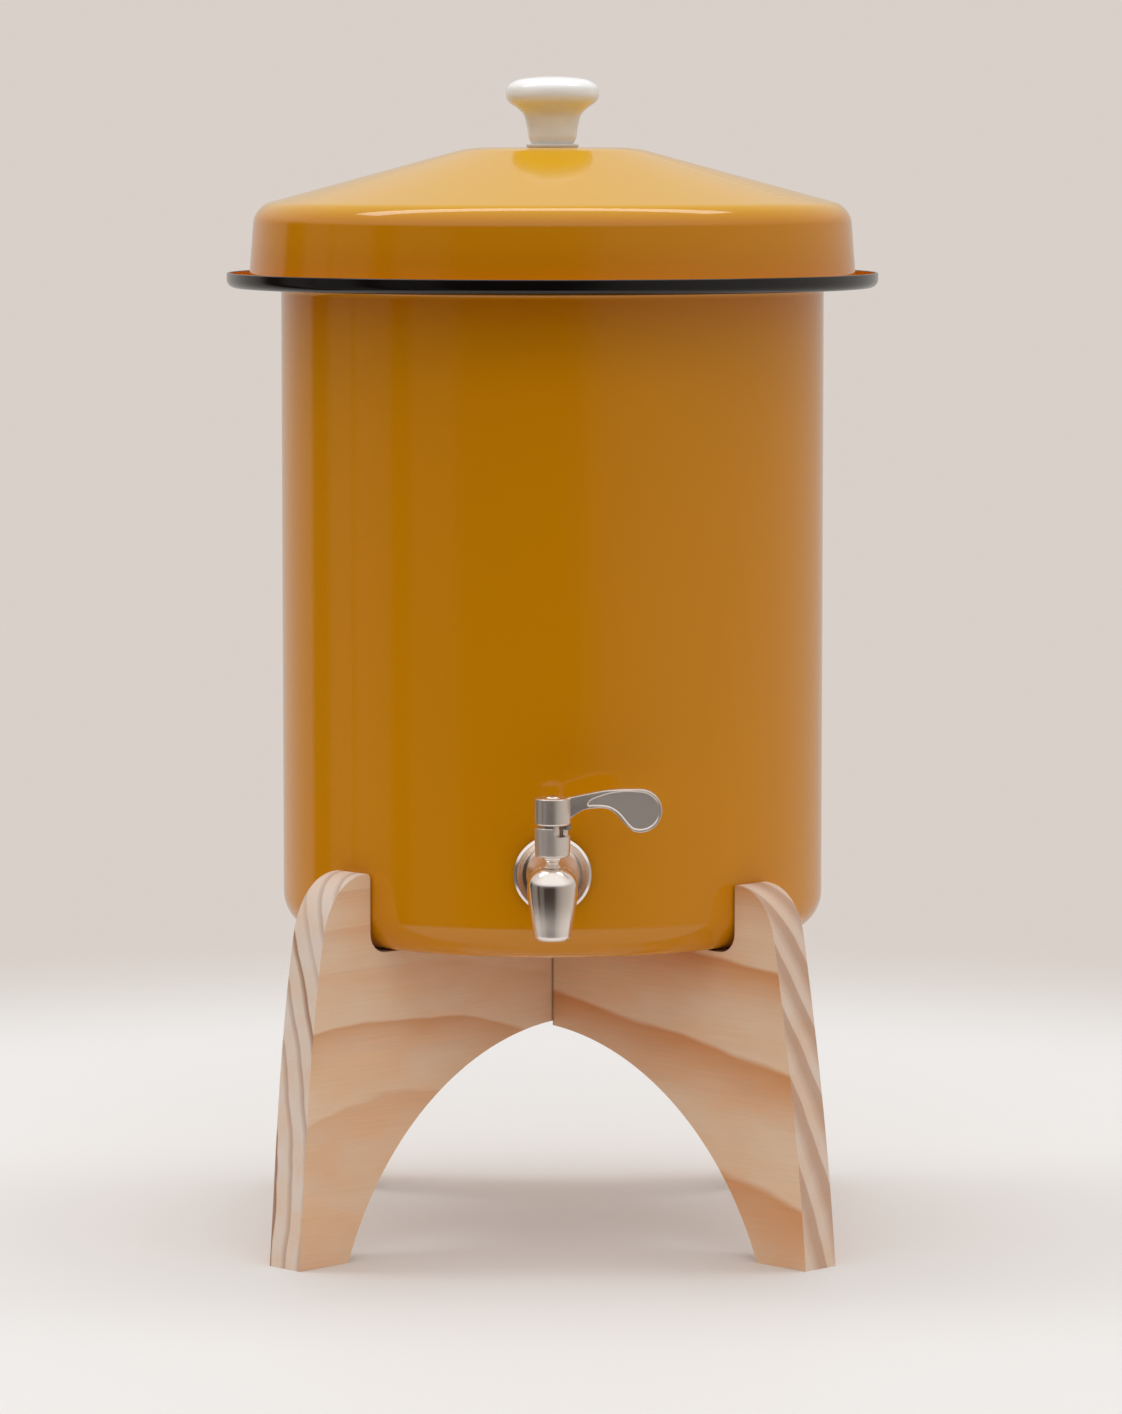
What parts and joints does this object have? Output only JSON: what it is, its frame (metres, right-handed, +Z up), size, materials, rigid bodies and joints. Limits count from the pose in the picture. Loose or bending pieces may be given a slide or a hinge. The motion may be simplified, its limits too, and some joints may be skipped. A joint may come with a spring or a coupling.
{
  "type": "water filter pot with tap",
  "caption": "Enamelled steel water pot with a hanging clay filter, lid with knob, flanged mouth and quarter-turn tap, standing in a stand of crossed pine boards.",
  "frame": {"origin": "on the floor under the axis of the pot, at the middle of the stand's soles", "axes": "+Z up along the pot's axis, -Y towards the tap (front), +X to the right seen from the front"},
  "size_m": [0.3659, 0.3847, 0.6497],
  "materials": {
    "enamel": "gloss vitreous enamel, mustard yellow",
    "black_enamel": "gloss black enamel",
    "pine": "sanded pine with clear satin varnish",
    "stainless": "satin stainless steel",
    "rubber": "matt rubber",
    "ptfe": "matt white PTFE",
    "terracotta": "unglazed fired clay",
    "white_knob": "gloss white glaze",
    "clear_washer": "pale translucent plastic",
    "brass": "turned brass"
  },
  "bodies": {
    "stand": {"stand_board_left": "pine", "stand_board_right": "pine"},
    "pot": {"pot_body": "enamel", "rim_band": "black_enamel", "tap_body": "stainless", "tap_bonnet": "stainless", "thrust_washer": "ptfe", "outer_gasket": "rubber", "inner_gasket": "rubber", "nut_washer": "stainless", "tap_nut": "stainless"},
    "tap_handle": {"tap_lever": "stainless", "lever_screw": "stainless", "tap_stem": "stainless", "stem_o_rings": "rubber", "valve_plug": "ptfe", "plug_o_rings": "rubber"},
    "filter": {"clay_filter": "terracotta"},
    "lid": {"lid_shell": "enamel", "lid_knob": "white_knob", "knob_washer": "clear_washer", "knob_insert": "brass", "screw_washer": "stainless", "knob_screw": "stainless"}
  },
  "joints": [
    {"name": "pot_lift", "type": "slide", "parent": "stand", "child": "pot", "axis": [0, 0, 1], "range_m": [0, 0.06]},
    {"name": "tap_turn", "type": "hinge", "parent": "pot", "child": "tap_handle", "pos_m": [0, -0.188, 0.218], "axis": [0, 0, -1], "range_deg": [0, 90]},
    {"name": "filter_lift", "type": "slide", "parent": "pot", "child": "filter", "axis": [0, 0, 1], "range_m": [0, 0.26]},
    {"name": "lid_lift", "type": "slide", "parent": "filter", "child": "lid", "axis": [0, 0, 1], "range_m": [0, 0.08]}
  ]
}
